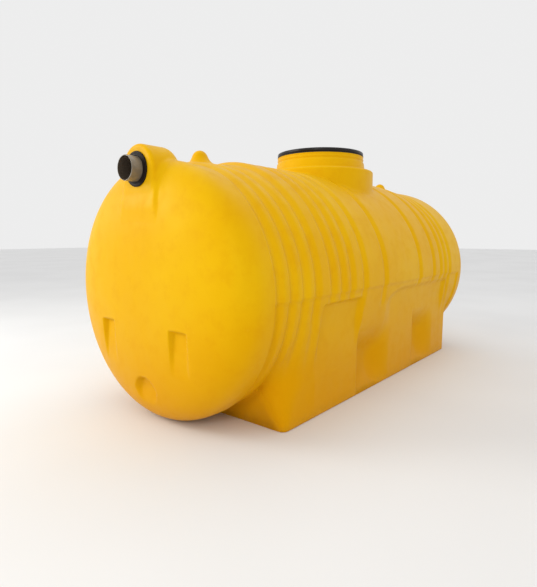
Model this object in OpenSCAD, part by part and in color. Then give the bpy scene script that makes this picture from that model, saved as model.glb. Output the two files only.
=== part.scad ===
// Horizontal moulded septic tank: a ribbed barrel with domed ends on a flat base,
// a manhole neck with a lid, and a sealed pipe stub in a hood at each end.
// Frame: X runs from the inlet (-X) to the outlet (+X), Z is up, and the origin is
// on the floor under the middle of the barrel. The "right" side is -Y.

/* [Shell] */
// Outer radius of the barrel on the crowns between its grooves
crown_r = 618; // [580:1:660]
// Thickness of the moulded wall
wall = 8; // [6:0.5:10]
// Height of the barrel's lowest line above the floor
floor_gap = 4; // [2:1:12]
// Length of the bay next to the inlet end
inlet_bay_len = 385; // [370:5:460]
// Length of the main module that carries the manhole
module_len = 1803; // [1780:5:2000]
// Length of the plain skirt before the outlet end
skirt_len = 122; // [90:1:160]
// How far each domed end stands out from the barrel
end_depth = 208; // [170:1:240]
// Squareness of the domed ends' profile, where 2 is an ellipse
end_power = 3.4; // [2.6:0.1:4]

/* [Ribs] */
// Distance between neighbouring grooves in a group
groove_pitch = 94; // [86:1:100]
// Width of a groove at the crown
groove_w = 58; // [40:1:64]
// Depth of a groove in the upper half
groove_depth = 14; // [8:0.5:18]
// Depth of a groove in the lower half
belly_groove_depth = 9; // [5:0.5:12]
// How far the lower half steps in at the parting line
belly_step = 10; // [4:0.5:14]
// Height of the barrel's axis above the parting line
parting_drop = 12; // [5:1:40]
// Depth below the axis at which the module's grooves end in smooth panels
panel_drop = 105; // [80:1:140]
// First groove's distance from the joint with the inlet end
inlet_groove_start = 44; // [38:1:60]
// Distance of the module's outermost grooves from its ends
group_inset = 75.5; // [60:0.5:90]
// Distance of the single grooves from the groups of three outside them
single_gap = 136; // [110:1:160]
// Distance of the grooves beside the neck from the module's middle
neck_groove = 258; // [240:1:290]

/* [Base] */
// How far the base's sides stand inside the widest part of the barrel
base_inset = 57; // [46:1:80]
// Rounding of the base's front corners
base_front_round = 34; // [20:1:60]
// Rounding of the base's rear corners
base_rear_round = 20; // [16:1:40]
// Distance from the inlet end's joint to the front of the base
base_setback = 152; // [140:1:180]
// Length of the first pad, from the end of the inlet bay
pad_a_len = 414; // [380:1:450]
// Length of the pocket after the first pad
pocket_ab_len = 324; // [280:1:360]
// Length of the middle pad
pad_b_len = 436; // [400:1:470]
// Length of the pocket after the middle pad
pocket_bc_len = 292; // [260:1:320]
// Greatest depth of the pockets between the pads
pocket_depth = 74; // [50:1:90]

/* [Manhole] */
// Outer radius of the low collar round the neck
collar_r = 350; // [335:1:370]
// Distance of the collar from the nearer joint of its bay
collar_gap = 10; // [4:1:20]
// Height of the collar above the top of the barrel
collar_h = 64; // [54:1:100]
// Outer radius of the neck at its rim
neck_r = 283; // [265:1:295]
// How much wider the neck is at its foot than at its rim
neck_taper = 14; // [0:1:20]
// Height of the neck above the collar
neck_h = 93; // [70:1:110]
// How far the manhole's centre lies towards the inlet from the module's middle
manhole_shift = 20; // [0:1:26]
// Thickness of the rubber ring under the lid
gasket_t = 6; // [4:1:10]
// Height of the lid's rim
lid_h = 22; // [18:1:30]
// Thickness of the lid's plate
lid_plate_t = 8; // [6:1:10]
// Number of stiffening ribs on the lid
lid_ribs = 8; // [6:1:12]

/* [Pipes] */
// Outer radius of the pipe stubs
pipe_r = 55; // [50:1:63]
// Wall of the pipe stubs
pipe_wall = 3.2; // [2.5:0.1:5]
// Depth of the inlet pipe's centre below the top of the barrel
inlet_drop = 64; // [60:1:70]
// How much lower the outlet is than the inlet
fall = 50; // [30:1:60]
// How far a stub stands out from its hood
stub_len = 62; // [45:1:80]
// How far a stub reaches inwards from its hood's face
stub_inner_len = 120; // [90:1:160]
// Distance of the hoods' flat faces from the joint with the end
hood_out = 191; // [186:1:196]
// Outer radius of the hoods' round tops
hood_r = 110; // [102:1:116]
// Distance from the hood's face to where its roof has fallen to the pipe's centre
hood_run = 232; // [225:1:250]
// Share of that distance over which the hood's roof runs level
hood_level = 0.62; // [0.4:0.01:0.7]
// Distance between a seal and its stub's shoulder
shoulder_gap = 2; // [1:0.5:4]
// How much smaller a stub's radius is behind its shoulder
shoulder_step = 1; // [0.5:0.1:1.5]
// Radius of the rubber seal's flange
seal_r = 77; // [72:1:84]
// Thickness of the rubber seal's flange
seal_t = 10; // [6:1:14]
// Radius of the hole in the hood for the seal
seal_hole_r = 66; // [64:1:70]

/* [Lugs and recesses] */
// Distance of the inlet lug from the joint with the inlet end
lug_inset_in = 181; // [165:1:200]
// Distance of the outlet lug from the end of the main module
lug_inset_out = 21; // [15:1:40]
// Radius of a lug at its foot
lug_foot_r = 58; // [50:1:64]
// Radius of a lug at its top
lug_top_r = 27; // [22:1:32]
// Height of a lug above the crowns
lug_h = 66; // [55:1:75]
// Depth of the recesses in the domed ends
recess_depth = 24; // [16:1:28]
// Width of the two upright recesses
recess_w = 105; // [90:1:120]
// Height of the two upright recesses
recess_h = 209; // [180:1:225]
// Distance of the upright recesses' inner edges from the middle
recess_y = 205; // [190:1:215]
// Height of the upright recesses' lower edges above the floor
recess_z = 275; // [265:1:290]
// Half the width of the arched niche
niche_r = 72; // [60:1:80]
// Height of the arched niche's centre above the floor
niche_z = 165; // [160:1:175]

/* [Hidden] */

YELLOW = [0.93, 0.70, 0.06];
BLACK = [0.10, 0.09, 0.09];
GREY = [0.45, 0.42, 0.37];

FAR = 3 * crown_r;
STEPS = 8;
END_STEPS = 18;

base_half_w = crown_r - base_inset;
axis_h = crown_r + floor_gap;
top_h = axis_h + crown_r;
belly_r = crown_r - belly_step;
parting_z = axis_h - parting_drop;
panel_z = axis_h - panel_drop;

barrel_len = inlet_bay_len + module_len + skirt_len;
x_in = -barrel_len / 2;
x_out = barrel_len / 2;
x_module = x_in + inlet_bay_len;
x_skirt = x_module + module_len;
module_mid = x_module + module_len / 2;
manhole_x = module_mid - manhole_shift;
bay_half = collar_r + manhole_shift + collar_gap;
x_front = module_mid - bay_half;
x_rear = module_mid + bay_half;

// The inlet bay takes as many grooves as fit
inlet_room = inlet_bay_len - inlet_groove_start - groove_w / 2;
inlet_grooves = [for (i = [0:floor(inlet_room / groove_pitch)])
    x_in + inlet_groove_start + i * groove_pitch];
group_end = module_len / 2 - group_inset;
group_start = group_end - 2 * groove_pitch;
half_grooves = [neck_groove, group_start - single_gap, group_start, group_end - groove_pitch, group_end];
module_grooves = concat([for (i = [len(half_grooves) - 1:-1:0]) module_mid - half_grooves[i]],
    [for (g = half_grooves) module_mid + g]);
grooves = concat(inlet_grooves, module_grooves);

x_base = x_in + base_setback;
pad_a_end = x_module + pad_a_len;
pad_b_start = pad_a_end + pocket_ab_len;
pad_b_end = pad_b_start + pad_b_len;
pad_c_start = pad_b_end + pocket_bc_len;
// Height at which the flanks run up inside the barrel's wall
flank_h = axis_h - sqrt(pow(belly_r - belly_groove_depth - wall, 2) - pow(base_half_w, 2)) + 20;
// Height at which the flanks meet the outside of the barrel
flank_top = axis_h - sqrt(pow(belly_r, 2) - pow(base_half_w, 2));

collar_top = top_h + collar_h;
neck_top = collar_top + neck_h;
lid_z = neck_top + gasket_t;

function arc(centre, r, from) =
    [for (i = [0:6]) centre + r * [cos(from + 15 * i), sin(from + 15 * i)]];

// Plan of the base with its rounded corners, drawn in by some distance
function base_plan(inset = 0) =
    let (front = base_front_round, rear = base_rear_round)
    concat(arc([x_base + front, base_half_w - front], front - inset, 90),
        arc([x_base + front, front - base_half_w], front - inset, 180),
        arc([x_skirt - rear, rear - base_half_w], rear - inset, 270),
        arc([x_skirt - rear, base_half_w - rear], rear - inset, 0));

// ---- Profiles: points are [radius, place along the barrel] ----

// Depth of a groove at t, from -1 at one edge to 1 at the other
function dip(t) = (1 + cos(180 * t)) / 2;

function groove_points(r, places, depth) =
    [for (g = places) for (i = [0:STEPS]) let (t = 2 * i / STEPS - 1)
        [r - depth * dip(t), g + t * groove_w / 2]];

function inside(places, a, b) = [for (g = places) if (g > a && g < b) g];

// A domed end's profile from its rim to its middle, for the end at x that points along s
function end_points(r, depth, x, s) =
    [for (i = [0:END_STEPS]) let (a = 90 * i / END_STEPS)
        [r * pow(cos(a), 2 / end_power), x + s * depth * pow(sin(a), 2 / end_power)]];

// A solid of revolution on the barrel's axis
module turned(points) {
    translate([0, 0, axis_h]) rotate([0, 90, 0])
        rotate_extrude($fn = 200) polygon(points);
}

// Everything between two heights
module between(z0, z1) {
    translate([-FAR, -FAR, z0]) cube([2 * FAR, 2 * FAR, z1 - z0]);
}

// Everything between two places along the barrel, from the floor to a height
module slice(x0, x1, half_w, z0, z1) {
    translate([x0, -half_w, z0]) cube([x1 - x0, 2 * half_w, z1 - z0]);
}

// The upper half's solid between two places, set in by a thickness
module crown_solid(x0, x1, inset = 0, over = 0) {
    turned(concat([[0, x0 - over], [crown_r - inset, x0 - over]],
        groove_points(crown_r - inset, inside(grooves, x0, x1), groove_depth),
        [[crown_r - inset, x1 + over], [0, x1 + over]]));
}

// The lower half's solid: it eases in from the crown's radius at the barrel's two ends
module belly_solid(x0, x1, inset = 0, over = 0, ribbed = true) {
    r = belly_r - inset;
    ease = inlet_groove_start - groove_w / 2;
    turned(concat(
        x0 == x_in ? [[0, x0 - over], [crown_r - inset, x0 - over], [crown_r - inset, x0],
            [r, x0 + ease]] : [[0, x0 - over], [r, x0 - over]],
        ribbed ? groove_points(r, inside(grooves, x0, x1), belly_groove_depth) : [],
        x1 == x_out ? [[r, x1 - ease], [crown_r - inset, x1], [crown_r - inset, x1 + over],
            [0, x1 + over]] : [[r, x1 + over], [0, x1 + over]]));
}

// Rings that cut the lower half's grooves out of a smooth solid, set in by a thickness
module belly_rings(x0, x1, inset = 0) {
    r = belly_r - inset;
    for (g = inside(grooves, x0, x1))
        turned(concat([[r + groove_depth, g - groove_w / 2]],
            groove_points(r, [g], belly_groove_depth), [[r + groove_depth, g + groove_w / 2]]));
}

// The lower half with grooves down to the smooth panels, which start at a height
module panelled_solid(x0, x1, inset = 0, over = 0) {
    difference() {
        belly_solid(x0, x1, inset, over, ribbed = false);
        intersection() {
            belly_rings(x0, x1, inset);
            between(panel_z - inset, top_h);
        }
    }
}

module end_solid(x, s, inset = 0) {
    turned(concat([[0, x - s * inset]], inset > 0 ? [[crown_r - inset, x - s * inset]] : [],
        end_points(crown_r - inset, end_depth - inset, x, s)));
}

// ---- Barrel ----

// Upper shell of a bay: a ledge at the parting line closes the step to the lower half
module crown_shell(x0, x1) {
    color(YELLOW) difference() {
        intersection() {
            crown_solid(x0, x1);
            between(parting_z, top_h + wall);
        }
        intersection() {
            crown_solid(x0, x1, wall, wall);
            between(parting_z + wall, top_h + wall);
        }
        belly_solid(x0, x1, wall, wall);
    }
}

module inlet_bay_crown() {
    color(YELLOW) difference() {
        crown_shell(x_in, x_module);
        hood_room(-1, inlet_z);
    }
}

module front_bay_crown() crown_shell(x_module, x_front);

module manhole_bay_crown() {
    color(YELLOW) difference() {
        crown_shell(x_front, x_rear);
        translate([manhole_x, 0, axis_h]) cylinder(h = FAR, r = collar_r - wall, $fn = 96);
    }
}

module rear_bay_crown() {
    color(YELLOW) difference() {
        crown_shell(x_rear, x_out);
        hood_room(1, outlet_z);
    }
}

// The base as a block, drawn in from its outside by some distance
module base_block(inset, z0, z1) {
    translate([0, 0, z0]) linear_extrude(z1 - z0) polygon(base_plan(inset));
}

// The base without the squares that its rounded corners stand in
module base_solid() {
    slice(x_base, x_skirt, base_half_w - base_front_round, 0, flank_h);
    slice(x_base + base_front_round, x_skirt, base_half_w - base_rear_round, 0, flank_h);
    slice(x_base + base_front_round, x_skirt - base_rear_round, base_half_w, 0, flank_h);
}

module inlet_bay_belly() {
    color(YELLOW) difference() {
        intersection() {
            belly_solid(x_in, x_module);
            between(-wall, parting_z);
        }
        belly_solid(x_in, x_module, wall, wall);
        base_solid();
    }
}

module panelled_shell(x0, x1) {
    color(YELLOW) difference() {
        intersection() {
            panelled_solid(x0, x1);
            between(-wall, parting_z);
        }
        panelled_solid(x0, x1, wall, wall);
        base_solid();
    }
}

module front_bay_belly() panelled_shell(x_module, x_front);
module manhole_bay_belly() panelled_shell(x_front, x_rear);
module rear_bay_belly() panelled_shell(x_rear, x_out);

// ---- Domed ends ----

// Recesses in an end: two upright ones that run out towards their lower edge, and a niche
module end_recesses(x, s, grow = 0) {
    depth = recess_depth + grow;
    face = x + s * end_depth;
    for (side = [-1, 1])
        translate([face, side * (recess_y + recess_w / 2), recess_z])
            rotate([90, 0, 0])
                translate([0, 0, -recess_w / 2 - grow])
                    linear_extrude(recess_w + 2 * grow)
                        polygon([[0, 0], [s * FAR, 0], [s * FAR, recess_h + grow],
                            [-s * (depth + end_sag(recess_mid)), recess_h + grow]]);
    translate([face - s * (depth + end_sag(niche_mid)), 0, niche_z])
        rotate([0, s * 90, 0]) cylinder(h = FAR, r = niche_r + grow, $fn = 64);
}

// How far a domed end has fallen back at a distance from its middle
function end_sag(r) = end_depth * (1 - pow(1 - pow(r / crown_r, end_power), 1 / end_power));
recess_mid = norm([recess_y + recess_w / 2, axis_h - recess_z - recess_h]);
niche_mid = axis_h - niche_z - niche_r;

module end_shell(x, s) {
    difference() {
        end_solid(x, s);
        end_recesses(x, s);
        difference() {
            end_solid(x, s, wall);
            end_recesses(x, s, wall);
        }
    }
}

module inlet_end() {
    color(YELLOW) difference() {
        end_shell(x_in, -1);
        hood_room(-1, inlet_z);
    }
}

module outlet_end() {
    color(YELLOW) difference() {
        end_shell(x_out, 1);
        hood_room(1, outlet_z);
    }
}

// ---- Base ----

module base_floor() {
    color(YELLOW) base_block(0, 0, wall);
}

// A wall across the base with the two corners beside it, which end under the barrel
module base_end_wall(x0, x1, round) {
    color(YELLOW) difference() {
        intersection() {
            base_block(0, wall, flank_h);
            slice(x0, x1, base_half_w + wall, 0, flank_h + wall);
        }
        base_block(wall, 0, flank_h + wall);
        belly_solid(x_in, x_out, wall);
        difference() {
            belly_solid(x_in, x_out);
            slice(x0 - wall, x1 + wall, base_half_w - round, 0, flank_h + wall);
        }
    }
}

module base_front_wall() base_end_wall(x_base - wall, x_base + base_front_round, base_front_round);
module base_rear_wall() base_end_wall(x_skirt - base_rear_round, x_skirt + wall, base_rear_round);

// A stretch of the flank, with an outward face between two places
module flank(x0, x1, side, ribbed = false) {
    color(YELLOW) difference() {
        translate([x0, side > 0 ? base_half_w - wall : -base_half_w, wall])
            cube([x1 - x0, wall, flank_h - wall]);
        belly_solid(ribbed ? x_in : x_module, ribbed ? x_module : x_out, wall, 0, ribbed);
    }
}

module inlet_flank_left() flank(x_base + base_front_round, x_module, 1, true);
module inlet_flank_right() flank(x_base + base_front_round, x_module, -1, true);
module pad_a_left() flank(x_module, pad_a_end, 1);
module pad_a_right() flank(x_module, pad_a_end, -1);
module pad_b_left() flank(pad_b_start, pad_b_end, 1);
module pad_b_right() flank(pad_b_start, pad_b_end, -1);
module pad_c_left() flank(pad_c_start, x_skirt - base_rear_round, 1);
module pad_c_right() flank(pad_c_start, x_skirt - base_rear_round, -1);

// The hollow of a pocket: a lying cylinder that meets the flank at the floor and the barrel
module pocket_room(x0, x1, grow = 0) {
    half = flank_top / 2;
    bow = (half * half + pocket_depth * pocket_depth) / (2 * pocket_depth);
    translate([x0, base_half_w - pocket_depth + bow, half])
        rotate([0, 90, 0]) cylinder(h = x1 - x0, r = bow + grow, $fn = 180);
}

// A concave panel between two pads, with a cheek at each end
module pocket(x0, x1, side) {
    color(YELLOW) mirror([0, side > 0 ? 0 : 1, 0]) difference() {
        translate([x0, base_half_w / 2, wall]) cube([x1 - x0, base_half_w / 2, flank_h - wall]);
        pocket_room(x0 + wall, x1 - wall);
        difference() {
            union() {
                translate([x0 - wall, 0, 0]) cube([x1 - x0 + 2 * wall, base_half_w - wall, flank_h + wall]);
                belly_solid(x_module, x_out, wall, 0, false);
            }
            pocket_room(x0 - 2 * wall, x1 + 2 * wall, wall);
        }
    }
}

module pocket_ab_left() pocket(pad_a_end, pad_b_start, 1);
module pocket_ab_right() pocket(pad_a_end, pad_b_start, -1);
module pocket_bc_left() pocket(pad_b_end, pad_c_start, 1);
module pocket_bc_right() pocket(pad_b_end, pad_c_start, -1);

// ---- Manhole ----

module neck_collar() {
    shoulder = 2.5 * wall;
    foot_r = neck_r + neck_taper - wall;
    color(YELLOW) difference() {
        translate([manhole_x, 0, 0]) rotate_extrude($fn = 96)
            polygon([[collar_r - wall, axis_h], [collar_r, axis_h], [collar_r, collar_top - shoulder],
                for (a = [15:15:75]) [collar_r - shoulder * (1 - cos(a)),
                    collar_top - shoulder * (1 - sin(a))],
                [collar_r - shoulder, collar_top], [foot_r, collar_top],
                [foot_r, collar_top - wall], [collar_r - wall - shoulder / 2, collar_top - wall],
                [collar_r - wall, collar_top - wall - shoulder / 2]]);
        crown_solid(x_module, x_skirt);
    }
}

// The neck leans inwards from a flared foot to its rim, with one ring groove on the way
module neck() {
    function lean(z) = neck_taper * (neck_top - z) / neck_h;
    flare = 6;
    groove_z = neck_top - neck_h / 3;
    groove_half = 9;
    outline = concat(
        [[flare, collar_top], [flare / 3, collar_top + flare], [0, collar_top + 2 * flare]],
        [for (i = [0:STEPS]) let (t = 2 * i / STEPS - 1) [-flare * dip(t), groove_z + t * groove_half]],
        [[0, neck_top - flare], [flare / 2, neck_top]]);
    last = len(outline) - 1;
    color(YELLOW) translate([manhole_x, 0, 0]) rotate_extrude($fn = 96)
        polygon(concat([for (p = outline) [neck_r + lean(p[1]) + p[0], p[1]]],
            [for (i = [last:-1:0]) let (p = outline[i])
                [neck_r + lean(p[1]) + min(p[0], 0) - wall, p[1]]]));
}

module lid_gasket() {
    color(BLACK) translate([manhole_x, 0, neck_top]) difference() {
        cylinder(h = gasket_t, r = neck_r + 2, $fn = 96);
        translate([0, 0, -1]) cylinder(h = gasket_t + 2, r = neck_r - wall - 2, $fn = 96);
    }
}

// The lid: a rim, a plate with a raised ring and a boss, and radial ribs
module manhole_lid() {
    rim_w = 14;
    ring_r = neck_r * 0.55;
    boss_r = neck_r * 0.18;
    rim_r = neck_r + 1;
    rib_h = lid_h - lid_plate_t - 4;
    color(BLACK) translate([manhole_x, 0, lid_z]) {
        difference() {
            rotate_extrude($fn = 96)
                polygon([[0, 0], [rim_r, 0], [rim_r, lid_h - 4], [rim_r - 4, lid_h],
                    [rim_r - rim_w, lid_h], [rim_r - rim_w - 3, lid_plate_t],
                    [ring_r + 8, lid_plate_t], [ring_r + 6, lid_plate_t + rib_h],
                    [ring_r - 6, lid_plate_t + rib_h], [ring_r - 8, lid_plate_t],
                    [boss_r + 3, lid_plate_t], [boss_r, lid_plate_t + rib_h], [0, lid_plate_t + rib_h]]);
            for (a = [0, 180]) rotate([0, 0, a]) translate([ring_r * 0.66, 0, lid_plate_t - 4])
                cylinder(h = lid_h, r = ring_r * 0.2, $fn = 48);
        }
        for (i = [0:lid_ribs - 1]) rotate([0, 0, (i + 0.5) * 360 / lid_ribs])
            translate([ring_r, -4, lid_plate_t - 1]) cube([rim_r - rim_w - ring_r, 8, rib_h - 2]);
    }
}

// ---- Hoods and pipes ----

inlet_z = top_h - inlet_drop;
outlet_z = inlet_z - fall;

// A hood at the end that points along s: an arched front, and a back that falls to the barrel
module hood_solid(s, pipe_z, inset = 0) {
    face = (s > 0 ? x_out : x_in) + s * hood_out;
    r = hood_r - inset;
    front = hood_out - inset;
    foot = pipe_z - axis_h / 2;
    crest = pipe_z + r;
    tail = hood_run - inset;
    intersection() {
        translate([0, 0, pipe_z]) rotate([0, s * 90, 0]) rotate([0, 0, 90])
            linear_extrude(2 * barrel_len, center = true) {
                circle(r, $fn = 72);
                translate([-r, -foot]) square([2 * r, foot]);
            }
        rotate([90, 0, 0]) linear_extrude(3 * hood_r, center = true)
            polygon(concat([[face - s * inset, axis_h], [face - s * inset, crest - 6],
                [face - s * (inset + 6), crest], [face - s * (inset + tail * hood_level), crest - 2]],
                [for (a = [15:15:90]) [face - s * (inset + tail * (hood_level + (1 - hood_level) * sin(a))),
                    crest - 2 - (crest - pipe_z) * (1 - cos(a))]],
                [[face - s * (inset + tail), axis_h]]));
    }
}

// The way from the chamber into a hood
module hood_room(s, pipe_z) hood_solid(s, pipe_z, wall);

module hood(s, pipe_z) {
    color(YELLOW) difference() {
        hood_solid(s, pipe_z);
        hood_solid(s, pipe_z, wall);
        translate([0, 0, pipe_z]) rotate([0, s * 90, 0])
            cylinder(h = barrel_len, r = seal_hole_r, $fn = 96);
        end_solid(s > 0 ? x_out : x_in, s);
        crown_solid(x_in, x_out);
    }
}

module inlet_hood() hood(-1, inlet_z);
module outlet_hood() hood(1, outlet_z);

// The rubber seal: a neck through the hole and a flange on the hood's face
module seal(s, pipe_z) {
    face = (s > 0 ? x_out : x_in) + s * hood_out;
    lip = seal_t / 3;
    grip_r = pipe_r - shoulder_step;
    color(BLACK) translate([face, 0, pipe_z]) rotate([0, s * 90, 0])
        rotate_extrude($fn = 96)
            polygon([[grip_r, -2 * wall], [seal_hole_r - 2, -2 * wall], [seal_hole_r, -wall],
                [seal_hole_r, 0], [seal_r, 0], [seal_r, seal_t - lip], [seal_r - lip, seal_t],
                [grip_r + lip, seal_t], [grip_r, seal_t - lip]]);
}

module inlet_seal() seal(-1, inlet_z);
module outlet_seal() seal(1, outlet_z);

// A stub of drain pipe with a shoulder that stops it short of the seal it is pushed through
module pipe(s, pipe_z) {
    face = (s > 0 ? x_out : x_in) + s * hood_out;
    bore_r = pipe_r - pipe_wall;
    grip_r = pipe_r - shoulder_step;
    shoulder = seal_t + shoulder_gap;
    color(GREY) translate([face, 0, pipe_z]) rotate([0, s * 90, 0])
        rotate_extrude($fn = 96)
            polygon([[bore_r, -stub_inner_len], [grip_r, -stub_inner_len], [grip_r, shoulder],
                [pipe_r, shoulder], [pipe_r, stub_len], [bore_r, stub_len]]);
}

module inlet_pipe() pipe(-1, inlet_z);
module outlet_pipe() pipe(1, outlet_z);

// ---- Lifting lugs ----

// A hollow cone with a rounded top that stands on the crest of the barrel
module lug(x) {
    round_r = lug_top_r * 0.6;
    color(YELLOW) difference() {
        translate([x, 0, 0]) rotate_extrude($fn = 64)
            polygon([[0, top_h - 3 * wall], [lug_foot_r + 4, top_h - 3 * wall], [lug_foot_r, top_h],
                for (a = [0:15:90]) [lug_top_r - round_r * (1 - cos(a)),
                    top_h + lug_h - round_r * (1 - sin(a))],
                [0, top_h + lug_h]]);
        crown_solid(x_in, x_out);
    }
}

module lifting_lug_inlet() lug(x_in + lug_inset_in);
module lifting_lug_outlet() lug(x_skirt - lug_inset_out);

inlet_end();
outlet_end();
inlet_bay_crown();
front_bay_crown();
manhole_bay_crown();
rear_bay_crown();
inlet_bay_belly();
front_bay_belly();
manhole_bay_belly();
rear_bay_belly();
base_floor();
base_front_wall();
base_rear_wall();
inlet_flank_left();
inlet_flank_right();
pad_a_left();
pad_a_right();
pocket_ab_left();
pocket_ab_right();
pad_b_left();
pad_b_right();
pocket_bc_left();
pocket_bc_right();
pad_c_left();
pad_c_right();
neck_collar();
neck();
lid_gasket();
manhole_lid();
inlet_hood();
inlet_seal();
inlet_pipe();
outlet_hood();
outlet_seal();
outlet_pipe();
lifting_lug_inlet();
lifting_lug_outlet();
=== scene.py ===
"""Looks of a moulded septic tank, dressed round its CAD frame. Lengths are in metres."""
import math

import bmesh
import bpy
import numpy as np
from mathutils import Matrix, Vector


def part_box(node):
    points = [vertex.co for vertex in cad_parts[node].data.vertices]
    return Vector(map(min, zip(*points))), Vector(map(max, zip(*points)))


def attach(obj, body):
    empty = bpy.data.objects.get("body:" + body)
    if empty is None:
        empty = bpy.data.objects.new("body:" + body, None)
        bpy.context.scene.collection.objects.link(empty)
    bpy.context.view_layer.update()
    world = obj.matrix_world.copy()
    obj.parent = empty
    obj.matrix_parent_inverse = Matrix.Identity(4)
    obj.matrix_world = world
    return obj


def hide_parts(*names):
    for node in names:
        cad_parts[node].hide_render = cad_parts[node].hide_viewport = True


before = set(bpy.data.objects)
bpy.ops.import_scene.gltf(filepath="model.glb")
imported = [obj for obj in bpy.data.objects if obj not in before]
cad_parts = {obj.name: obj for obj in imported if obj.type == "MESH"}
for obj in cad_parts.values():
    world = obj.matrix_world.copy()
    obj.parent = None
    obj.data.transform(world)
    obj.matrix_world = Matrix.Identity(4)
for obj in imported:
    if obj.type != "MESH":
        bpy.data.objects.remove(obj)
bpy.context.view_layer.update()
MM = 0.001


def span(node, axis):
    """Lowest and highest place of a CAD node along an axis."""
    low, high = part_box(node)
    return low[axis], high[axis]


# ---- Sizes taken from the frame ----
INLET_JOINT = span("inlet_end", 0)[1]
OUTLET_JOINT, OUTLET_TIP = span("outlet_end", 0)
BELLY_LINE, CREST = span("outlet_end", 2)
AXIS = (BELLY_LINE + CREST) / 2
CROWN = (CREST - BELLY_LINE) / 2
END_DEPTH = OUTLET_TIP - OUTLET_JOINT
PARTING = span("front_bay_crown", 2)[0]
BELLY = span("front_bay_belly", 1)[1]
MODULE_START = span("front_bay_crown", 0)[0]
BASE_FRONT, BASE_REAR = span("base_floor", 0)
BASE_HALF = span("base_floor", 1)[1]
BASE_DROP = math.sqrt(BELLY ** 2 - BASE_HALF ** 2)
POCKETS = [span("pocket_ab_right", 0), span("pocket_bc_right", 0)]
MIDDLE = (MODULE_START + BASE_REAR) / 2
MANHOLE = sum(span("neck", 0)) / 2
COLLAR_R = (span("neck_collar", 1)[1] - span("neck_collar", 1)[0]) / 2
COLLAR_TOP, NECK_TOP = span("neck", 2)
LID_LOW, LID_TOP = span("manhole_lid", 2)
LID_R = span("manhole_lid", 1)[1]
WALL = span("base_floor", 2)[1]
INLET_Z = sum(span("inlet_pipe", 2)) / 2
OUTLET_Z = sum(span("outlet_pipe", 2)) / 2

# ---- Sizes of the forms, as in the part's source ----
END_POWER = 3.4
GROOVE_PITCH = 94 * MM
BELLY_GROOVE_DEPTH = 9 * MM
INLET_GROOVE = 44 * MM
GROUP_START = 638 * MM
SINGLE_GROOVES = [258 * MM, 502 * MM]
POCKET_DEPTH = 74 * MM
NECK_R = 283 * MM
NECK_TAPER = 14 * MM
PIPE_R = 55 * MM
PIPE_WALL = 3.2 * MM
SEAL_R = 77 * MM
SEAL_T = 10 * MM
LUG_FOOT = 58 * MM
LUG_TOP = 27 * MM
LUG_HIGH = 66 * MM
RECESS_DEPTH = 24 * MM
RECESS_Y = (205 * MM, 310 * MM)
RECESS_Z = (275 * MM, 484 * MM)
NICHE_R = 72 * MM
NICHE_Z = 165 * MM

# ---- Sizes that are softer than the source's, or that only the visible forms have ----
GROOVE_W = 74 * MM
GROOVE_DEPTH = 13 * MM
WHOLE_GROOVE = 1.4
PANEL_DEPTH = 26 * MM
PANEL_END = 45 * MM
FLANK_HOLLOW = 16 * MM
FLANK_RUN = 190 * MM
REAR_CORNER = 10 * MM
FRONT_CORNER = 30 * MM
CORNER_GROWTH = 150 * MM
INLET_FLARE = 90 * MM
FLARE = 62 * MM
FLOOR_ROUND = 16 * MM
PANEL_ROUND = 14 * MM
WALL_FILLET = 22 * MM
RECESS_SOFT = 9 * MM
DENT = 250 * MM
HOOD_RUN = 200 * MM
HOOD_LEVEL = 0.6
DECK_RISE = 30 * MM
DECK_REACH = 900 * MM
SADDLE = 24 * MM
SADDLE_X = INLET_JOINT - 5 * MM
SADDLE_HALF = 65 * MM

# where a form sets in and where it is complete
BELLY_STEP = (2 * MM, 26 * MM)
PARTING_STEP = (PARTING - 22 * MM, PARTING + 6 * MM)
GROOVE_FADE = (460 * MM, 520 * MM)
FLARE_FADE = (430 * MM, 560 * MM)
DECK_START = (MODULE_START - 135 * MM, MODULE_START - 10 * MM)
CORNER_HEIGHT = (0, 260 * MM)
HOLLOW_HEIGHT = (0, 150 * MM)
POCKET_FADE = 20 * MM

TINY = 1e-6  # keeps divisors from 0
HALVINGS = 24  # halvings of a span that is searched for a surface

HALF_GROOVES = SINGLE_GROOVES + [GROUP_START + i * GROOVE_PITCH for i in range(3)]
GROOVES = [INLET_JOINT + INLET_GROOVE + i * GROOVE_PITCH for i in range(4)]
GROOVES += [MIDDLE + side * g for g in HALF_GROOVES for side in (-1, 1)]
LAST_GROOVE = max(GROOVES)
# smooth panels above the pads: start, stop, top, and the reach of their slopes along and down
PANELS = [(MODULE_START, POCKETS[0][0] + 10 * MM, 568 * MM, 40 * MM, 50 * MM),
          (POCKETS[0][1] - 45 * MM, LAST_GROOVE - 10 * MM, 584 * MM, 270 * MM, 95 * MM)]


# ---- Small maths on arrays ----

def ease(value, low, high):
    """0 below low, 1 above high and smooth between them."""
    t = np.clip((value - low) / (high - low), 0, 1)
    return t * t * (3 - 2 * t)


def soft_min(a, b, reach):
    """The smaller of two, rounded where they are within reach of each other."""
    near = np.clip(reach - abs(a - b), 0, None) / reach
    return np.minimum(a, b) - near * near * reach / 4


def soft_max(a, b, reach):
    return -soft_min(-a, -b, reach)


def spread(low, high, count, dense=()):
    """Places from low to high, closer together near each (centre, half width, weight)."""
    t = np.linspace(low, high, 6001)
    weight = np.ones_like(t)
    for centre, half, extra in dense:
        weight += extra * np.exp(-(((t - centre) / half) ** 2))
    total = np.concatenate([[0], np.cumsum((weight[1:] + weight[:-1]) / 2)])
    return np.interp(np.linspace(0, total[-1], count), total, t)


# ---- Forms of the moulded shell ----

def groove_dip(x):
    """How much of the groove's depth there is at a place along the barrel."""
    dip = np.zeros_like(x)
    for groove in GROOVES:
        t = np.clip((x - groove) / (GROOVE_W / 2), -1, 1)
        dip += (1 + np.cos(np.pi * t)) / 2
    return dip


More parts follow.
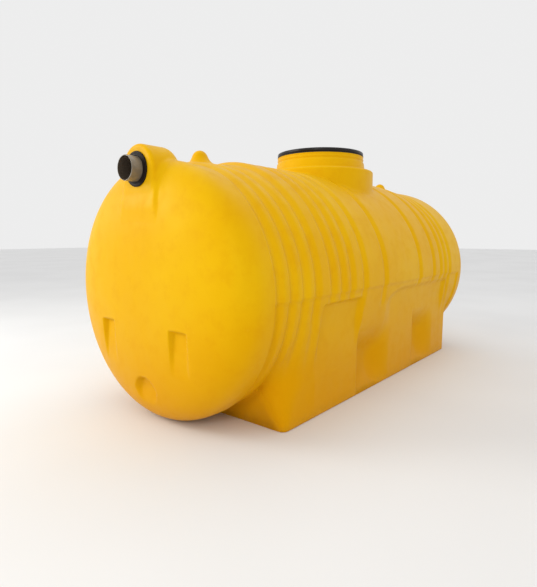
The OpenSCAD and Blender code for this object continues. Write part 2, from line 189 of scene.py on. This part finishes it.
def panel_share(x, z):
    """1 inside the flat panels that rise from the pads into the barrel, 0 outside."""
    share = np.zeros_like(x)
    for start, stop, top, run, drop in PANELS:
        along = np.maximum(start + run - x, 0) / run
        up = np.maximum(z - top + drop, 0) / drop
        corner = 1 - ease(np.hypot(along, up), 0.5, 1)
        inside = corner * (1 - ease(x, stop - PANEL_END, stop))
        share = np.maximum(share, inside)
    return share


def deck_rise(x, up):
    """How far the crown swells up towards the manhole, and sinks behind the inlet hood."""
    rise = ease(x, *DECK_START)
    fall = ease(1 - (x - MANHOLE) / DECK_REACH, 0, 0.45)
    saddle = np.exp(-(((x - SADDLE_X) / SADDLE_HALF) ** 2))
    up = np.clip(up, 0, 1)
    return DECK_RISE * rise * fall * up ** 4 - SADDLE * saddle * up ** 12


def barrel_radius(x, z):
    """The barrel's radius: shallow grooves and a smaller radius under the parting line."""
    dip = groove_dip(x)
    to_end = np.minimum(x - INLET_JOINT, OUTLET_JOINT - x)
    step = (CROWN - BELLY) * ease(to_end, *BELLY_STEP)
    whole = (x < MODULE_START) | (x > LAST_GROOVE - GROOVE_W)
    fade = np.where(whole, WHOLE_GROOVE, ease(z, *GROOVE_FADE) * (1 - panel_share(x, z)))
    upper = CROWN - GROOVE_DEPTH * dip + deck_rise(x, (z - AXIS) / CROWN)
    lower = CROWN - step - BELLY_GROOVE_DEPTH * dip * fade
    return lower + (upper - lower) * ease(z, *PARTING_STEP)


def pocket_inset(x, z):
    """How far the flank is hollowed in between the pads."""
    half = (AXIS - BASE_DROP) / 2
    bow = (half ** 2 + POCKET_DEPTH ** 2) / (2 * POCKET_DEPTH)
    rise = np.clip(z - half, -half, 0)
    depth = np.sqrt(bow ** 2 - rise ** 2) - (bow - POCKET_DEPTH)
    depth *= 1 - ease(z, half + POCKET_FADE, 2 * half + POCKET_FADE)
    share = np.zeros_like(x)
    for start, stop in POCKETS:
        opened = ease(x, start + 1 * MM, start + 14 * MM)
        share += opened * (1 - ease(x, stop - 120 * MM, stop + 90 * MM))
    return depth * share


def base_radius(x, across, up):
    """Distance from the axis to the base's skin, along the direction (across, up)."""
    across = np.maximum(abs(across), TINY)
    hollow = 1 - (1 - np.clip((MODULE_START - x) / FLANK_RUN, 0, 1)) ** 2
    front = x < (BASE_FRONT + BASE_REAR) / 2
    low = np.zeros_like(x)
    high = np.minimum(BASE_HALF / across, 3 * CROWN)
    for _ in range(HALVINGS):
        mid = (low + high) / 2
        z = AXIS + mid * up
        front_corner = FRONT_CORNER + CORNER_GROWTH * ease(z, *CORNER_HEIGHT)
        corner = np.where(front, front_corner, REAR_CORNER)
        near = np.clip(np.minimum(x - BASE_FRONT, BASE_REAR - x), 0, corner)
        half = BASE_HALF - corner + np.sqrt(corner ** 2 - (corner - near) ** 2)
        half = half - FLANK_HOLLOW * hollow * ease(z, *HOLLOW_HEIGHT)
        outside = mid * across > half - pocket_inset(x, z)
        high = np.where(outside, mid, high)
        low = np.where(outside, low, mid)
    floor = AXIS / np.maximum(-up, TINY)
    rounded = soft_min(high, floor, FLOOR_ROUND)
    inside = (x >= BASE_FRONT) & (x <= BASE_REAR) & (up < 0)
    return np.where(inside, rounded, 0)


def shell_radius(x, turn):
    """The moulded shell's distance from the axis at a turn from straight up."""
    across, up = np.sin(turn), np.cos(turn)
    z = AXIS + CROWN * up
    barrel = barrel_radius(x, z)
    base = base_radius(x, across, up)
    flare = np.where(x < MODULE_START - 6 * MM, INLET_FLARE, FLARE)
    flare = flare * (1 - 0.8 * ease(z, *FLARE_FADE))
    joined = np.where(base > 0, soft_max(barrel, base, flare), barrel)
    panel = panel_share(x, z) * (base > 0)
    flat = soft_max(base, barrel - PANEL_DEPTH, PANEL_ROUND)
    joined = joined + (flat - joined) * panel
    # a small fillet where the barrel meets the base's front and rear walls
    root = WALL_FILLET
    gap = np.maximum(BASE_FRONT - x, x - BASE_REAR)
    lift = root - np.sqrt(np.clip(root ** 2 - np.clip(root - gap, 0, root) ** 2, 0, None))
    at_wall = base_radius(np.clip(x, BASE_FRONT, BASE_REAR), across, up)
    lifted = np.minimum(barrel + lift, np.maximum(at_wall, barrel))
    shell = np.where((gap > 0) & (gap < root), lifted, joined)
    # nothing passes the floor or the barrel's widest line
    limit = np.minimum(AXIS / np.maximum(-up, TINY), CROWN / np.maximum(abs(across), TINY))
    return np.minimum(shell, limit)


def end_recess(y, z):
    """How far the end is pressed in: two wedges and an arched niche, deepest at their tops."""
    soft = RECESS_SOFT
    share = ease(abs(y), RECESS_Y[0], RECESS_Y[0] + soft)
    share *= 1 - ease(abs(y), RECESS_Y[1] - soft, RECESS_Y[1])
    share *= 1 - ease(z, RECESS_Z[1] - soft, RECESS_Z[1])
    wedge = np.clip((z - RECESS_Z[0]) / (RECESS_Z[1] - RECESS_Z[0]), 0, 1)
    niche = 1 - ease(np.hypot(y, z - NICHE_Z), NICHE_R - soft, NICHE_R)
    arch = ease(z, NICHE_Z - NICHE_R, NICHE_Z + NICHE_R * 0.6)
    return RECESS_DEPTH * (share * wedge + niche * arch)


def barrel_height(x, y):
    """Height of the barrel's top over a place."""
    up = np.sqrt(np.clip(1 - (y / CROWN) ** 2, 0, 1))
    radius = CROWN - GROOVE_DEPTH * groove_dip(x) + deck_rise(x, up)
    return AXIS + np.sqrt(np.clip(radius ** 2 - y ** 2, 0, None))


def shell_distance(p, sunk=0.0):
    """Signed distance to the barrel and its ends, sunk by a little."""
    across = np.hypot(p[:, 1], p[:, 2] - AXIS)
    past = np.maximum(np.maximum(INLET_JOINT - p[:, 0], p[:, 0] - OUTLET_JOINT), 0)
    crown = CROWN + deck_rise(p[:, 0], (p[:, 2] - AXIS) / np.maximum(across, TINY))
    a, b = past / END_DEPTH, across / crown
    size = np.maximum(a ** END_POWER + b ** END_POWER, 1e-9) ** (1 / END_POWER)
    slope = np.hypot(a ** (END_POWER - 1) / END_DEPTH, b ** (END_POWER - 1) / crown)
    slope = slope * size ** (1 - END_POWER)
    barrel = across - (crown - GROOVE_DEPTH * groove_dip(p[:, 0]))
    return np.where(past > 0, (size - 1) / np.maximum(slope, TINY), barrel) + sunk


# ---- Mesh tools ----

MERGE = 0.02 * MM  # vertices this close are one


def arc(count):
    """Sines and cosines of evenly spread angles over a quarter turn."""
    return [(math.sin(a), math.cos(a)) for a in np.linspace(0, math.pi / 2, count)]


def end_face(node, side):
    """Where a node's outer end lies along the tank."""
    return span(node, 0)[0 if side < 0 else 1]


def place_of(bm):
    """Every vertex's place as an array."""
    bm.verts.ensure_lookup_table()
    return np.array([v.co[:] for v in bm.verts])


def move_to(bm, places):
    for v, place in zip(bm.verts, places):
        v.co = place


def piece(name, bm, slot, *nodes):
    """A finished mesh object that rides on the tank and stands for CAD nodes."""
    mesh = bpy.data.meshes.new(name)
    bm.to_mesh(mesh)
    bm.free()
    made = bpy.data.objects.new(name, mesh)
    bpy.context.scene.collection.objects.link(made)
    mesh.materials.append(FINISHES[slot])
    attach(made, "root")
    if nodes:
        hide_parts(*nodes)
    return made


def spun(points, centre, axis, steps, closed=False):
    """A surface of revolution from a profile of places."""
    bm = bmesh.new()
    corners = [bm.verts.new(p) for p in points]
    pairs = list(zip(corners, corners[1:]))
    if closed:
        pairs.append((corners[-1], corners[0]))
    edges = [bm.edges.new(pair) for pair in pairs]
    bmesh.ops.spin(bm, geom=corners + edges, cent=centre, axis=axis, angle=math.tau,
                   steps=steps, use_merge=True)
    bmesh.ops.remove_doubles(bm, verts=bm.verts, dist=MERGE)
    bmesh.ops.recalc_face_normals(bm, faces=bm.faces)
    for face in bm.faces:
        face.smooth = True
    return bm


def close_rims(bm):
    """Closes each open rim with a flat inner cap behind a sharp edge."""
    rims = [e for e in bm.edges if e.is_boundary]
    bmesh.ops.holes_fill(bm, edges=rims, sides=0)
    for edge in rims:
        edge.smooth = False
    bmesh.ops.recalc_face_normals(bm, faces=bm.faces)


# ---- The moulded shell ----

TURNS = 300
BARREL_ROWS = 312
END_ROWS = 104
SEAM = 8 * MM


def turn_places():
    """Where the shell's lengthwise lines lie, close together at its creases."""
    corner = math.atan2(BASE_HALF, -AXIS)
    flank = math.atan2(BASE_HALF, -BASE_DROP)
    parting = math.acos((PARTING - AXIS) / CROWN)
    panel = math.acos((570 * MM - AXIS) / CROWN)
    dense = []
    for side in (-1, 1):
        dense += [(side * parting, 0.022, 3.5), (side * corner, 0.03, 2.5),
                  (side * flank, 0.05, 0.8), (side * panel, 0.05, 1.6)]
    return spread(-math.pi, math.pi, TURNS + 1, dense)


def bend_turns(places):
    """Moves evenly turned vertices to the shell's own lengthwise lines."""
    even = np.linspace(-math.pi, math.pi, TURNS + 1)
    turn = np.arctan2(places[:, 1], places[:, 2] - AXIS)
    return np.interp(turn, even, turn_places())


def barrel():
    dense = [(BASE_FRONT, 14 * MM, 2.6), (BASE_REAR, 14 * MM, 2.2), (MODULE_START, 12 * MM, 2.0)]
    for pocket in POCKETS:
        dense += [(edge, 12 * MM, 1.6) for edge in pocket]
    rows = spread(INLET_JOINT + SEAM, OUTLET_JOINT - SEAM, BARREL_ROWS, dense)
    for wall, inward in ((BASE_FRONT, 1), (BASE_REAR, -1)):
        near = np.argmin(abs(rows - wall))
        rows[near] = wall + inward * 0.05 * MM
        rows[near - inward] = wall - inward * 0.05 * MM
        rows[near + inward] = wall + inward * 1.6 * MM
    bm = spun([(x, 0, AXIS + CROWN) for x in rows], (0, 0, AXIS), (1, 0, 0), TURNS)
    places = place_of(bm)
    turn = bend_turns(places)
    radius = shell_radius(places[:, 0], turn)
    places[:, 1] = radius * np.sin(turn)
    places[:, 2] = AXIS + radius * np.cos(turn)
    move_to(bm, places)
    close_rims(bm)
    piece("barrel_and_base", bm, "shell_plastic",
          "inlet_bay_crown", "front_bay_crown", "manhole_bay_crown", "rear_bay_crown",
          "inlet_bay_belly", "front_bay_belly", "manhole_bay_belly", "rear_bay_belly",
          "base_floor", "base_front_wall", "base_rear_wall",
          *[f"{part}_{side}" for side in ("left", "right") for part in
            ("inlet_flank", "pad_a", "pocket_ab", "pad_b", "pocket_bc", "pad_c")])


def domed_end(node, side, pipe_z):
    """A domed end with its recesses, and a dent behind the hood that the pipe opens into."""
    joint = INLET_JOINT if side < 0 else OUTLET_JOINT
    swing = np.linspace(0, math.pi / 2, 4001)
    along = np.sin(swing) ** (2 / END_POWER) * END_DEPTH
    out = np.abs(np.cos(swing)) ** (2 / END_POWER) * CROWN
    run = np.concatenate([[0], np.cumsum(np.hypot(np.diff(along), np.diff(out)))])
    marks = spread(0, run[-1], END_ROWS, [(run[-1] * 0.22, 90 * MM, 0.6)])
    outline = [(joint - side * SEAM, 0, AXIS + CROWN)]
    outline += [(joint + side * a, 0, AXIS + r) for a, r in
                zip(np.interp(marks, run, along), np.interp(marks, run, out))]
    outline[-1] = (joint + side * END_DEPTH, 0, AXIS)
    bm = spun(outline, (0, 0, AXIS), (1, 0, 0), TURNS)
    places = place_of(bm)
    turn = bend_turns(places)
    radius = np.hypot(places[:, 1], places[:, 2] - AXIS)
    x = places[:, 0]
    radius *= 1 + deck_rise(x, np.cos(turn)) / CROWN
    y, z = radius * np.sin(turn), AXIS + radius * np.cos(turn)
    x = x - side * end_recess(y, z)
    dent = 1 - ease(np.hypot(y, z - pipe_z), PIPE_R + 4 * MM, PIPE_R + 16 * MM)
    x = x - side * DENT * dent
    move_to(bm, np.stack([x, y, z], -1))
    close_rims(bm)
    piece(f"{node}_moulding", bm, "shell_plastic", node)


def neck_tower():
    """The collar on the barrel and the neck on it, with a soft fillet at the foot."""
    root = 13 * MM
    rim_round = 16 * MM
    foot_round = 14 * MM
    groove_z, groove_half, groove_depth = NECK_TOP - 31 * MM, 12 * MM, 5 * MM
    inner = NECK_R - WALL
    low = AXIS + math.sqrt(CROWN ** 2 - COLLAR_R ** 2) - 45 * MM
    points = []
    for out, up in arc(9):
        points.append((COLLAR_R + root * (1 - out), CREST + root * (1 - up)))
    foot_rows = CREST + root + 0.01 * MM
    for up, out in arc(7):
        points.append((COLLAR_R - rim_round * (1 - out), COLLAR_TOP - rim_round * (1 - up)))

    def side_r(z):
        return NECK_R + NECK_TAPER * (NECK_TOP - z) / (NECK_TOP - COLLAR_TOP)

    for out, up in arc(7):
        z = COLLAR_TOP + foot_round * (1 - up)
        points.append((side_r(z) + foot_round * (1 - out), z))
    for i in range(13):
        t = i / 6 - 1
        z = groove_z + t * groove_half
        points.append((side_r(z) - groove_depth * (1 + math.cos(math.pi * t)) / 2, z))
    for out, down in ((0, 8), (1.6, 5), (2.2, 2.5), (1.6, 0.7), (0.4, 0)):
        points.append((NECK_R + out * MM, NECK_TOP - down * MM))
    points += [(inner + 1.5 * MM, NECK_TOP), (inner, NECK_TOP - 1.5 * MM), (inner, low)]
    points.append((COLLAR_R - WALL, low))
    outline = [(MANHOLE + r, 0, z) for r, z in points]
    bm = spun(outline, (MANHOLE, 0, 0), (0, 0, 1), 180, closed=True)
    places = place_of(bm)
    foot = (places[:, 2] < foot_rows) & (places[:, 2] > low + 1 * MM)
    ground = barrel_height(places[:, 0], places[:, 1]) - 0.6 * MM
    places[:, 2] = np.where(foot, places[:, 2] - CREST + ground, places[:, 2])
    move_to(bm, places)
    bmesh.ops.recalc_face_normals(bm, faces=bm.faces)
    piece("manhole_neck_moulding", bm, "shell_plastic", "neck_collar", "neck")


SUNK = 0.7 * MM  # how far a blister's rim lies under the shell
BURIED_SHARE = 0.7  # how far its unseen side reaches, as a share of its rays


def blister(name, slot, centre, reach, fineness, form, blend, nodes, bore=None):
    """A hollow form that grows out of the shell with a fillet, found by rays from its centre."""
    bm = bmesh.new()
    bmesh.ops.create_icosphere(bm, subdivisions=fineness, radius=1)
    rays = place_of(bm)
    rays /= np.linalg.norm(rays, axis=1)[:, None]
    centre = np.array(centre)

    def outside(t):
        """Whether each ray has left the form and the shell at its distance t."""
        p = centre + rays * t[:, None]
        return soft_min(form(p), shell_distance(p, SUNK), blend(p)) > 0

    steps, step = np.linspace(0.02 * reach, reach, 80, retstep=True)
    hit = np.full(len(rays), np.inf)
    for t in steps:
        hit = np.where(outside(np.full(len(rays), t)) & np.isinf(hit), t, hit)
    buried = np.isinf(hit)
    near = np.clip(hit - step, 0, None)
    far = np.where(buried, reach, hit)
    for _ in range(HALVINGS):
        mid = (near + far) / 2
        out = outside(np.where(buried, reach, mid))
        far = np.where(out, mid, far)
        near = np.where(out, near, mid)
    far = np.where(buried, reach * BURIED_SHARE, far)
    places = centre + rays * far[:, None]
    if bore:
        pipe_z, depth = bore
        from_pipe = np.hypot(places[:, 1], places[:, 2] - pipe_z)
        core = 1 - ease(from_pipe, PIPE_R + 1 * MM, PIPE_R + 9 * MM)
        front = (places[:, 0] - centre[0]) * np.sign(depth) < 0
        places[:, 0] += depth * core * front
    move_to(bm, places)
    for face in bm.faces:
        face.smooth = True
    piece(name, bm, slot, *nodes)


def hood(node, side, pipe_z):
    """The arched hood round a pipe, with a rounded back that falls to the barrel's crest."""
    face = end_face(node, side)
    radius = span(node, 1)[1]
    level = HOOD_RUN * HOOD_LEVEL
    lean, edge_round, bore_depth = 25 * MM, 18 * MM, 240 * MM

    def below(p, start, stop):
        return ease(pipe_z - p[:, 2], start * MM, stop * MM)

    def form(p):
        back = (face - p[:, 0]) * side
        behind = np.clip(back - level, 0, None) / (HOOD_RUN - level)
        arch = np.hypot(p[:, 1], np.clip(p[:, 2] - pipe_z, 0, None)) / radius
        front = lean * below(p, 130, 270) - back
        return soft_max((np.hypot(arch, behind) - 1) * radius, front, edge_round)

    def blend(p):
        beside = ease(abs(p[:, 1]), 88 * MM, 122 * MM) * (1 - below(p, 70, 190))
        behind = ease((face - p[:, 0]) * side, 60 * MM, 120 * MM)
        under = below(p, 85, 180)
        return (6 + 30 * beside * (1 - behind) + 14 * behind + 34 * under) * MM

    centre = (face - side * 95 * MM, 0, pipe_z - 25 * MM)
    blister(f"{node}_moulding", "shell_plastic", centre, 0.3, 7, form, blend, [node],
            bore=(pipe_z, -side * bore_depth))


def lug(node):
    """A lifting lug: a rounded cone on the crest with a wide soft foot."""
    x = sum(span(node, 0)) / 2
    top = CREST + LUG_HIGH
    foot, tip_round, foot_blend = LUG_FOOT - 6 * MM, 30 * MM, 46 * MM

    def form(p):
        across = np.hypot(p[:, 0] - x, p[:, 1])
        share = (p[:, 2] - CREST) / LUG_HIGH
        cone = (across - (foot + (LUG_TOP - foot) * share)) * 0.9
        return soft_max(cone, p[:, 2] - top, tip_round)

    blister(f"{node}_moulding", "shell_plastic", (x, 0, CREST - 15 * MM), 0.12, 6, form,
            lambda p: np.full(len(p), foot_blend), [node])


# ---- Lid, seals and pipes ----

def manhole_lid():
    """The lid: a rounded rim, a plate with a raised ring and boss, and radial ribs."""
    height = LID_TOP - LID_LOW
    plate, raised = 8 * MM, 18 * MM
    ring, boss, rim_foot = LID_R * 0.55, LID_R * 0.18, LID_R - 17 * MM
    outline = [(0, 0), (LID_R - 3 * MM, 0), (LID_R, 3 * MM), (LID_R, height - 6 * MM),
               (LID_R - 2 * MM, height - 2 * MM), (LID_R - 6 * MM, height),
               (LID_R - 13 * MM, height), (LID_R - 15 * MM, height - 2 * MM),
               (rim_foot, plate + 1 * MM), (rim_foot - 2 * MM, plate)]
    for out, down in ((9, 10), (7, 8), (6, 2), (4, 0), (-4, 0), (-6, 2), (-7, 8), (-9, 10)):
        outline.append((ring + out * MM, raised - down * MM))
    outline += [(boss + 4 * MM, plate), (boss + 1 * MM, raised - 2 * MM),
                (boss - 2 * MM, raised), (0, raised)]
    bm = spun([(MANHOLE + r, 0, LID_LOW + z) for r, z in outline],
              (MANHOLE, 0, 0), (0, 0, 1), 144)
    for edge in bm.edges:
        if len(edge.link_faces) == 2 and edge.calc_face_angle(0) > math.radians(50):
            edge.smooth = False
    rib_count = 8
    length, rib_width, rib_height, rib_z = rim_foot - ring, 8 * MM, 9 * MM, 12 * MM
    for i in range(rib_count):
        made = bmesh.ops.create_cube(bm, size=1)["verts"]
        bmesh.ops.scale(bm, verts=made, vec=(length, rib_width, rib_height))
        bmesh.ops.translate(bm, verts=made, vec=(ring + length / 2, 0, LID_LOW + rib_z))
        edges = list({e for v in made for e in v.link_edges})
        bevelled = bmesh.ops.bevel(bm, geom=edges, offset=1.5 * MM, segments=2, profile=0.5,
                                   affect="EDGES", material=-1)
        turned = {v for face in bevelled["faces"] for v in face.verts}
        turned = list(turned | {v for v in made if v.is_valid})
        bmesh.ops.rotate(bm, verts=turned, cent=(0, 0, 0),
                         matrix=Matrix.Rotation((i + 0.5) * math.tau / rib_count, 3, "Z"))
        bmesh.ops.translate(bm, verts=turned, vec=(MANHOLE, 0, 0))
    piece("manhole_lid_moulding", bm, "lid_plastic", "manhole_lid")


def pipe_seal(node, side, pipe_z):
    """The rubber seal: a rounded flange and a lip that grips the pipe."""
    seat = end_face(node, side) - side * SEAL_T
    grip = PIPE_R + 0.2 * MM
    flange_round = 4
    # each place is a radius, and how many millimetres it stands out of the hood
    outline = [(grip, -14), (PIPE_R + 9 * MM, -14), (PIPE_R + 11 * MM, -1), (SEAL_R - 2 * MM, -1)]
    for angle in (0, 22, 45, 68, 90):
        swing = math.radians(angle)
        outline.append((SEAL_R - flange_round * MM * (1 - math.cos(swing)),
                        flange_round * (1 + math.sin(swing))))
    outline += [(PIPE_R + 13 * MM, 8.4), (PIPE_R + 10 * MM, 7.4), (PIPE_R + 7 * MM, 8.2),
                (PIPE_R + 4 * MM, 9.8), (PIPE_R + 1.6 * MM, 9.6), (grip, 8.4)]
    bm = spun([(seat + side * out * MM, 0, pipe_z + r) for r, out in outline],
              (0, 0, pipe_z), (1, 0, 0), 120, closed=True)
    piece(f"{node}_moulding", bm, "seal_rubber", node)


def pipe_stub(node, pipe_z):
    """The open stub of drain pipe, with a chamfer at each end."""
    low, high = span(node, 0)
    bore = PIPE_R - PIPE_WALL
    chamfer, nose = 2.5 * MM, PIPE_R - 1.4 * MM
    outline = [(low, bore), (low, nose), (low + chamfer, PIPE_R),
               (high - chamfer, PIPE_R), (high, nose), (high, bore)]
    bm = spun([(x, 0, pipe_z + r) for x, r in outline],
              (0, 0, pipe_z), (1, 0, 0), 120, closed=True)
    for edge in bm.edges:
        if edge.calc_face_angle(0) > math.radians(20):
            edge.smooth = False
    piece(f"{node}_tube", bm, "pipe_plastic", node)


# ---- Materials ----

class Wire:
    """A socket in a material. Arithmetic on it adds Math nodes."""

    def __init__(self, paint, socket):
        self.paint = paint
        self.socket = socket

    def math(self, operation, first, second=0.0):
        return self.paint.node("ShaderNodeMath", {"operation": operation}, {0: first, 1: second})

    def __add__(self, other):
        return self.math("ADD", self, other)

    def __sub__(self, other):
        return self.math("SUBTRACT", self, other)

    def __rsub__(self, other):
        return self.math("SUBTRACT", other, self)

    def __mul__(self, other):
        return self.math("MULTIPLY", self, other)

    __radd__ = __add__


class Paint:
    """A material under construction."""

    def __init__(self, name):
        self.material = bpy.data.materials.new(name)
        self.material.use_nodes = True
        self.tree = self.material.node_tree
        self.tree.nodes.clear()
        self.place = self.node("ShaderNodeTexCoord", output="Object")

    def node(self, kind, settings=None, sockets=None, output=0):
        """Adds a node: its settings first, then the values or links of its sockets."""
        made = self.tree.nodes.new(kind)
        for key, value in (settings or {}).items():
            setattr(made, key, value)
        for key, value in (sockets or {}).items():
            if isinstance(value, Wire):
                self.tree.links.new(value.socket, made.inputs[key])
            else:
                made.inputs[key].default_value = value
        return Wire(self, made.outputs[output])

    def noise(self, scale, detail=2.0, rough=0.5, place=None):
        return self.node("ShaderNodeTexNoise", {}, {
            "Vector": place or self.place, "Scale": scale, "Detail": detail, "Roughness": rough})

    def ramp(self, value, low, high):
        """0 where value is under low, 1 over high, smooth between."""
        return self.node("ShaderNodeMapRange", {"interpolation_type": "SMOOTHSTEP"}, {
            "Value": value, "From Min": low, "From Max": high})

    def mix(self, share, first, second):
        return self.node("ShaderNodeMix", {"data_type": "RGBA"},
                         {0: share, 6: first, 7: second}, output=2)

    def part(self, axis):
        """One coordinate of the place on the tank, in metres."""
        return self.node("ShaderNodeSeparateXYZ", {}, {0: self.place}, output=axis)

    def stretched(self, factors):
        return self.node("ShaderNodeMapping", {}, {"Vector": self.place, "Scale": factors})

    def bump(self, height, strength, distance, below=None):
        sockets = {"Height": height, "Strength": strength, "Distance": distance}
        if below:
            sockets["Normal"] = below
        return self.node("ShaderNodeBump", {}, sockets)

    def finish(self, sockets):
        shader = self.node("ShaderNodeBsdfPrincipled", {}, sockets)
        self.node_output(shader)
        return self.material

    def node_output(self, shader):
        out = self.tree.nodes.new("ShaderNodeOutputMaterial")
        self.tree.links.new(shader.socket, out.inputs["Surface"])


def yellow_plastic():
    """Rotomoulded polyethylene: soft sheen, orange peel, slow changes of tone, scuffs, and
    painted shade that darkens it towards the bottom.
    """
    paint = Paint("yellow_polyethylene")
    base = (0.775, 0.412, 0.002, 1)
    pale = (0.80, 0.460, 0.004, 1)
    # deep orange: a random deeper tone for the mottle, and also the painted shade towards the
    # bottom
    deep_tone_and_shade = (0.69, 0.295, 0.001, 1)
    rubbed = (0.82, 0.50, 0.03, 1)
    soiled = (0.34, 0.17, 0.03, 1)
    cloud = paint.noise(1.7, 3, 0.55)
    mottle = paint.noise(14, 3, 0.6)
    colour = paint.mix(paint.ramp(cloud, 0.35, 0.68), base, pale)
    colour = paint.mix(paint.ramp(mottle, 0.45, 0.75) * 0.25, colour, deep_tone_and_shade)
    # painted shade: the colour turns deep orange towards the bottom, standing in for occlusion
    # and weak floor bounce under the barrel
    low = 1 - paint.ramp(paint.part("Z"), 0.0, 0.75)
    colour = paint.mix(low * 0.75, colour, deep_tone_and_shade)
    scuff = paint.noise(9, 4, 0.7, paint.stretched((1.2, 5, 5)))
    colour = paint.mix(paint.ramp(scuff, 0.60, 0.78) * 0.22, colour, rubbed)
    near_floor = 1 - paint.ramp(paint.part("Z"), 0.0, 0.07)
    splash = near_floor * paint.ramp(paint.noise(45, 4, 0.65), 0.3, 0.7)
    colour = paint.mix(splash * 0.22, colour, soiled)
    peel = paint.noise(230, 2, 0.5)
    wave = paint.noise(11, 1, 0.4)
    normal = paint.bump(wave, 0.22, 0.010)
    normal = paint.bump(peel, 0.12, 0.0006, normal)
    rough = 0.36 + paint.ramp(mottle, 0.3, 0.7) * 0.10 + paint.ramp(scuff, 0.60, 0.78) * 0.12
    return paint.finish({"Base Color": colour, "Roughness": rough, "Normal": normal,
                         "Specular IOR Level": 0.11, "Specular Tint": (1, 0.72, 0.1, 1)})


def black_plastic(name, sheen_rough, shine=0.3):
    """Black polyethylene or rubber with a fine grain and patches of dust."""
    paint = Paint(name)
    grain = paint.noise(320, 2, 0.5)
    dust = paint.ramp(paint.noise(18, 4, 0.65), 0.42, 0.75)
    colour = paint.mix(dust * 0.4, (0.009, 0.006, 0.005, 1), (0.03, 0.021, 0.015, 1))
    rough = sheen_rough + dust * 0.18
    return paint.finish({"Base Color": colour, "Roughness": rough, "Specular IOR Level": shine,
                         "Normal": paint.bump(grain, 0.25, 0.0004)})


def grey_pipe():
    """Grey-brown drain pipe: drawn lines along its length, a bore painted dark for the shade
    inside it, and a soft gloss.
    """
    paint = Paint("drain_pipe_plastic")
    # painted shade: this near-black brown on the bore stands in for the shade inside the pipe
    bore_painted_shade = (0.09, 0.068, 0.048, 1)
    lines = paint.noise(60, 2, 0.5, paint.stretched((0.3, 8, 8)))
    smudge = paint.ramp(paint.noise(24, 3, 0.6), 0.4, 0.7)
    colour = paint.mix(smudge * 0.5, (0.22, 0.18, 0.125, 1), (0.10, 0.08, 0.055, 1))
    past = paint.ramp(paint.part("X"), -0.01, 0.01)
    rise = paint.part("Z") - (INLET_Z - past * (INLET_Z - OUTLET_Z))
    out = paint.node("ShaderNodeMath", {"operation": "SQRT"},
                     {0: rise * rise + paint.part("Y") * paint.part("Y")})
    # the inner face of the wall takes the bore's painted shade, the outer face the pipe's own
    # colour
    skin = paint.ramp(out, PIPE_R - PIPE_WALL + 0.1 * MM, PIPE_R - 1.5 * MM)
    colour = paint.mix(skin, bore_painted_shade, colour)
    rough = 0.26 + smudge * 0.16
    return paint.finish({"Base Color": colour, "Roughness": rough,
                         "Normal": paint.bump(lines, 0.12, 0.0005)})


def pale_floor():
    paint = Paint("studio_floor")
    tone = paint.noise(0.8, 2, 0.5)
    colour = paint.mix(paint.ramp(tone, 0.3, 0.7), (0.80, 0.80, 0.80, 1), (0.83, 0.83, 0.83, 1))
    return paint.finish({"Base Color": colour, "Roughness": 0.8, "Specular IOR Level": 0.2})


FINISHES = {
    "shell_plastic": yellow_plastic(),
    "lid_plastic": black_plastic("black_lid_plastic", 0.30),
    "gasket_rubber": black_plastic("gasket_rubber", 0.55),
    "seal_rubber": black_plastic("seal_rubber", 0.45, 0.12),
    "pipe_plastic": grey_pipe(),
}


# ---- Camera, light and floor ----

def camera():
    """Stands off the inlet end's right side, a little above the tank's axis."""
    lens = bpy.data.cameras.new("camera")
    lens.lens = 28.46
    lens.clip_end = 100
    eye = bpy.data.objects.new("camera", lens)
    eye.location = (-2.5925, -1.7682, 0.8882)
    forward = Vector((0.76729, 0.62911, -0.12444))
    eye.rotation_euler = forward.to_track_quat("-Z", "Y").to_euler()
    bpy.context.scene.collection.objects.link(eye)
    bpy.context.scene.camera = eye


def softbox(name, place, target, size, power, colour=(1, 1, 1)):
    light = bpy.data.lights.new(name, "AREA")
    light.shape = "RECTANGLE"
    light.size, light.size_y = size
    light.energy = power
    light.color = colour
    made = bpy.data.objects.new(name, light)
    made.location = place
    aim = Vector(target) - Vector(place)
    made.rotation_euler = aim.to_track_quat("-Z", "Y").to_euler()
    bpy.context.scene.collection.objects.link(made)


def studio():
    bm = bmesh.new()
    bmesh.ops.create_grid(bm, x_segments=2, y_segments=2, size=30)
    mesh = bpy.data.meshes.new("studio_floor")
    bm.to_mesh(mesh)
    bm.free()
    mesh.materials.append(pale_floor())
    floor = bpy.data.objects.new("studio_floor", mesh)
    bpy.context.scene.collection.objects.link(floor)
    softbox("key", (-3.9, 3.2, 2.6), (-0.9, 0, 0.6), (2.2, 2.2), 92, (1, 0.99, 0.93))
    softbox("side", (-5.2, -2.4, 2.6), (0.2, -0.4, 0.4), (0.9, 0.9), 36, (1, 0.99, 0.96))
    softbox("top", (0.5, 0.5, 5.0), (0, 0, 0.8), (4.0, 3.0), 25)
    world = bpy.data.worlds.new("studio_air")
    world.use_nodes = True
    air = world.node_tree.nodes["Background"]
    air.inputs["Color"].default_value = (1, 1, 1, 1)
    air.inputs["Strength"].default_value = 0.85
    bpy.context.scene.world = world
    bpy.context.scene.view_settings.view_transform = "Standard"


# ---- Assembly ----

camera()
barrel()
domed_end("inlet_end", -1, INLET_Z)
domed_end("outlet_end", 1, OUTLET_Z)
neck_tower()
hood("inlet_hood", -1, INLET_Z)
hood("outlet_hood", 1, OUTLET_Z)
lug("lifting_lug_inlet")
lug("lifting_lug_outlet")
manhole_lid()
pipe_seal("inlet_seal", -1, INLET_Z)
pipe_seal("outlet_seal", 1, OUTLET_Z)
pipe_stub("inlet_pipe", INLET_Z)
pipe_stub("outlet_pipe", OUTLET_Z)
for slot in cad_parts["lid_gasket"].material_slots:
    slot.material = FINISHES["gasket_rubber"]
studio()
